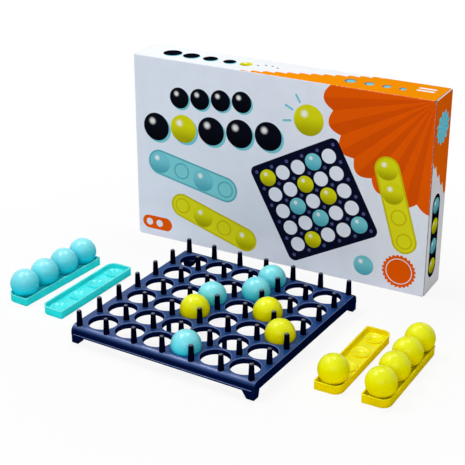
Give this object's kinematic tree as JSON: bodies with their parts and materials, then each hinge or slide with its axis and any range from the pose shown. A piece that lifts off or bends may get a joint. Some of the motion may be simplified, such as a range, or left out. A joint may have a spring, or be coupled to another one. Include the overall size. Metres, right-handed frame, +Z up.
{
  "type": "ball bounce party game",
  "caption": "Tabletop ball bounce game laid out for play: navy peg board with ball holes, cyan and yellow balls in shallow trays, and its tuck-end carton standing behind.",
  "frame": {"origin": "on the table, under the middle of the whole set as it is laid out", "axes": "+X along the peg board's front edge to the right, +Y from the board towards the carton, +Z up"},
  "size_m": [0.4524, 0.3312, 0.2265],
  "materials": {
    "board_plastic": "satin moulded navy",
    "peg_plastic": "satin moulded dark navy",
    "cyan_ball_plastic": "glossy light blue",
    "yellow_ball_plastic": "glossy lemon yellow",
    "cyan_tray_plastic": "glossy turquoise",
    "yellow_tray_plastic": "glossy warm yellow",
    "carton_board": "printed and varnished card",
    "carton_flap_board": "printed and varnished card",
    "card_board": "coated playing card",
    "paper": "plain paper"
  },
  "bodies": {
    "board": {"peg_board": "board_plastic", "pegs": "peg_plastic"},
    "yellow_tray_1": {"yellow_tray_1": "yellow_tray_plastic"},
    "yellow_tray_2": {"yellow_tray_2": "yellow_tray_plastic"},
    "cyan_tray_1": {"cyan_tray_1": "cyan_tray_plastic"},
    "cyan_tray_2": {"cyan_tray_2": "cyan_tray_plastic"},
    "cyan_ball_1": {"cyan_ball_1": "cyan_ball_plastic"},
    "cyan_ball_2": {"cyan_ball_2": "cyan_ball_plastic"},
    "cyan_ball_3": {"cyan_ball_3": "cyan_ball_plastic"},
    "cyan_ball_4": {"cyan_ball_4": "cyan_ball_plastic"},
    "cyan_ball_5": {"cyan_ball_5": "cyan_ball_plastic"},
    "cyan_ball_6": {"cyan_ball_6": "cyan_ball_plastic"},
    "cyan_ball_7": {"cyan_ball_7": "cyan_ball_plastic"},
    "cyan_ball_8": {"cyan_ball_8": "cyan_ball_plastic"},
    "yellow_ball_1": {"yellow_ball_1": "yellow_ball_plastic"},
    "yellow_ball_2": {"yellow_ball_2": "yellow_ball_plastic"},
    "yellow_ball_3": {"yellow_ball_3": "yellow_ball_plastic"},
    "yellow_ball_4": {"yellow_ball_4": "yellow_ball_plastic"},
    "yellow_ball_5": {"yellow_ball_5": "yellow_ball_plastic"},
    "yellow_ball_6": {"yellow_ball_6": "yellow_ball_plastic"},
    "yellow_ball_7": {"yellow_ball_7": "yellow_ball_plastic"},
    "yellow_ball_8": {"yellow_ball_8": "yellow_ball_plastic"},
    "carton": {"carton_sleeve": "carton_board"},
    "right_end_flap": {"right_end_flap": "carton_flap_board"},
    "right_tongue": {"right_tongue": "carton_flap_board"},
    "right_top_dust_flap": {"right_top_dust_flap": "carton_flap_board"},
    "right_bottom_dust_flap": {"right_bottom_dust_flap": "carton_flap_board"},
    "left_end_flap": {"left_end_flap": "carton_flap_board"},
    "left_tongue": {"left_tongue": "carton_flap_board"},
    "left_top_dust_flap": {"left_top_dust_flap": "carton_flap_board"},
    "left_bottom_dust_flap": {"left_bottom_dust_flap": "carton_flap_board"},
    "challenge_cards": {"challenge_cards": "card_board"},
    "rules_sheet": {"rules_sheet": "paper"}
  },
  "joints": [
    {"name": "yellow_tray_1_lift", "type": "slide", "parent": "board", "child": "yellow_tray_1", "axis": [0, 0, 1], "range_m": [0, 0.08]},
    {"name": "yellow_tray_2_lift", "type": "slide", "parent": "board", "child": "yellow_tray_2", "axis": [0, 0, 1], "range_m": [0, 0.08]},
    {"name": "cyan_tray_1_lift", "type": "slide", "parent": "board", "child": "cyan_tray_1", "axis": [0, 0, 1], "range_m": [0, 0.08]},
    {"name": "cyan_tray_2_lift", "type": "slide", "parent": "board", "child": "cyan_tray_2", "axis": [0, 0, 1], "range_m": [0, 0.08]},
    {"name": "cyan_ball_1_lift", "type": "slide", "parent": "board", "child": "cyan_ball_1", "axis": [0, 0, 1], "range_m": [0, 0.06]},
    {"name": "cyan_ball_2_lift", "type": "slide", "parent": "board", "child": "cyan_ball_2", "axis": [0, 0, 1], "range_m": [0, 0.06]},
    {"name": "cyan_ball_3_lift", "type": "slide", "parent": "board", "child": "cyan_ball_3", "axis": [0, 0, 1], "range_m": [0, 0.06]},
    {"name": "cyan_ball_4_lift", "type": "slide", "parent": "board", "child": "cyan_ball_4", "axis": [0, 0, 1], "range_m": [0, 0.06]},
    {"name": "cyan_ball_5_lift", "type": "slide", "parent": "cyan_tray_1", "child": "cyan_ball_5", "axis": [0, 0, 1], "range_m": [0, 0.06]},
    {"name": "cyan_ball_6_lift", "type": "slide", "parent": "cyan_tray_1", "child": "cyan_ball_6", "axis": [0, 0, 1], "range_m": [0, 0.06]},
    {"name": "cyan_ball_7_lift", "type": "slide", "parent": "cyan_tray_1", "child": "cyan_ball_7", "axis": [0, 0, 1], "range_m": [0, 0.06]},
    {"name": "cyan_ball_8_lift", "type": "slide", "parent": "cyan_tray_1", "child": "cyan_ball_8", "axis": [0, 0, 1], "range_m": [0, 0.06]},
    {"name": "yellow_ball_1_lift", "type": "slide", "parent": "board", "child": "yellow_ball_1", "axis": [0, 0, 1], "range_m": [0, 0.06]},
    {"name": "yellow_ball_2_lift", "type": "slide", "parent": "board", "child": "yellow_ball_2", "axis": [0, 0, 1], "range_m": [0, 0.06]},
    {"name": "yellow_ball_3_lift", "type": "slide", "parent": "board", "child": "yellow_ball_3", "axis": [0, 0, 1], "range_m": [0, 0.06]},
    {"name": "yellow_ball_4_lift", "type": "slide", "parent": "yellow_tray_1", "child": "yellow_ball_4", "axis": [0, 0, 1], "range_m": [0, 0.06]},
    {"name": "yellow_ball_5_lift", "type": "slide", "parent": "yellow_tray_2", "child": "yellow_ball_5", "axis": [0, 0, 1], "range_m": [0, 0.06]},
    {"name": "yellow_ball_6_lift", "type": "slide", "parent": "yellow_tray_2", "child": "yellow_ball_6", "axis": [0, 0, 1], "range_m": [0, 0.06]},
    {"name": "yellow_ball_7_lift", "type": "slide", "parent": "yellow_tray_2", "child": "yellow_ball_7", "axis": [0, 0, 1], "range_m": [0, 0.06]},
    {"name": "yellow_ball_8_lift", "type": "slide", "parent": "yellow_tray_2", "child": "yellow_ball_8", "axis": [0, 0, 1], "range_m": [0, 0.06]},
    {"name": "carton_lift", "type": "slide", "parent": "board", "child": "carton", "axis": [0, 0, 1], "range_m": [0, 0.1]},
    {"name": "right_end_flap_open", "type": "hinge", "parent": "carton", "child": "right_end_flap", "pos_m": [0.15864, 0.1656, 0.11325], "axis": [0, 0, 1], "range_deg": [0, 130]},
    {"name": "right_tongue_bend", "type": "hinge", "parent": "right_end_flap", "child": "right_tongue", "pos_m": [0.16119, 0.11817, 0.11325], "axis": [0, 0, 1], "range_deg": [0, 27]},
    {"name": "right_top_dust_flap_open", "type": "hinge", "parent": "carton", "child": "right_top_dust_flap", "pos_m": [0.15817, 0.14079, 0.2265], "axis": [0.0537, -0.9986, 0], "range_deg": [0, 40]},
    {"name": "right_bottom_dust_flap_open", "type": "hinge", "parent": "carton", "child": "right_bottom_dust_flap", "pos_m": [0.15817, 0.14079, 0], "axis": [-0.0537, 0.9986, 0], "range_deg": [0, 40]},
    {"name": "left_end_flap_open", "type": "hinge", "parent": "carton", "child": "left_end_flap", "pos_m": [-0.20883, 0.14583, 0.11325], "axis": [0, 0, -1], "range_deg": [0, 130]},
    {"name": "left_tongue_bend", "type": "hinge", "parent": "left_end_flap", "child": "left_tongue", "pos_m": [-0.20628, 0.0984, 0.11325], "axis": [0, 0, -1], "range_deg": [0, 27]},
    {"name": "left_top_dust_flap_open", "type": "hinge", "parent": "carton", "child": "left_top_dust_flap", "pos_m": [-0.2057, 0.12121, 0.2265], "axis": [-0.0537, 0.9986, 0], "range_deg": [0, 40]},
    {"name": "left_bottom_dust_flap_open", "type": "hinge", "parent": "carton", "child": "left_bottom_dust_flap", "pos_m": [-0.2057, 0.12121, 0], "axis": [0.0537, -0.9986, 0], "range_deg": [0, 40]},
    {"name": "challenge_cards_slide", "type": "slide", "parent": "carton", "child": "challenge_cards", "axis": [0.9986, 0.0537, 0], "range_m": [-0.1, 0.06]},
    {"name": "rules_sheet_slide", "type": "slide", "parent": "carton", "child": "rules_sheet", "axis": [0.9986, 0.0537, 0], "range_m": [-0.06, 0.12]}
  ],
  "couplings": [
    {"joint": "right_tongue_bend", "follows": "right_end_flap_open", "ratio": 0.2},
    {"joint": "right_top_dust_flap_open", "follows": "right_end_flap_open", "ratio": 0.3},
    {"joint": "right_bottom_dust_flap_open", "follows": "right_end_flap_open", "ratio": 0.3},
    {"joint": "left_tongue_bend", "follows": "left_end_flap_open", "ratio": 0.2},
    {"joint": "left_top_dust_flap_open", "follows": "left_end_flap_open", "ratio": 0.3},
    {"joint": "left_bottom_dust_flap_open", "follows": "left_end_flap_open", "ratio": 0.3}
  ]
}
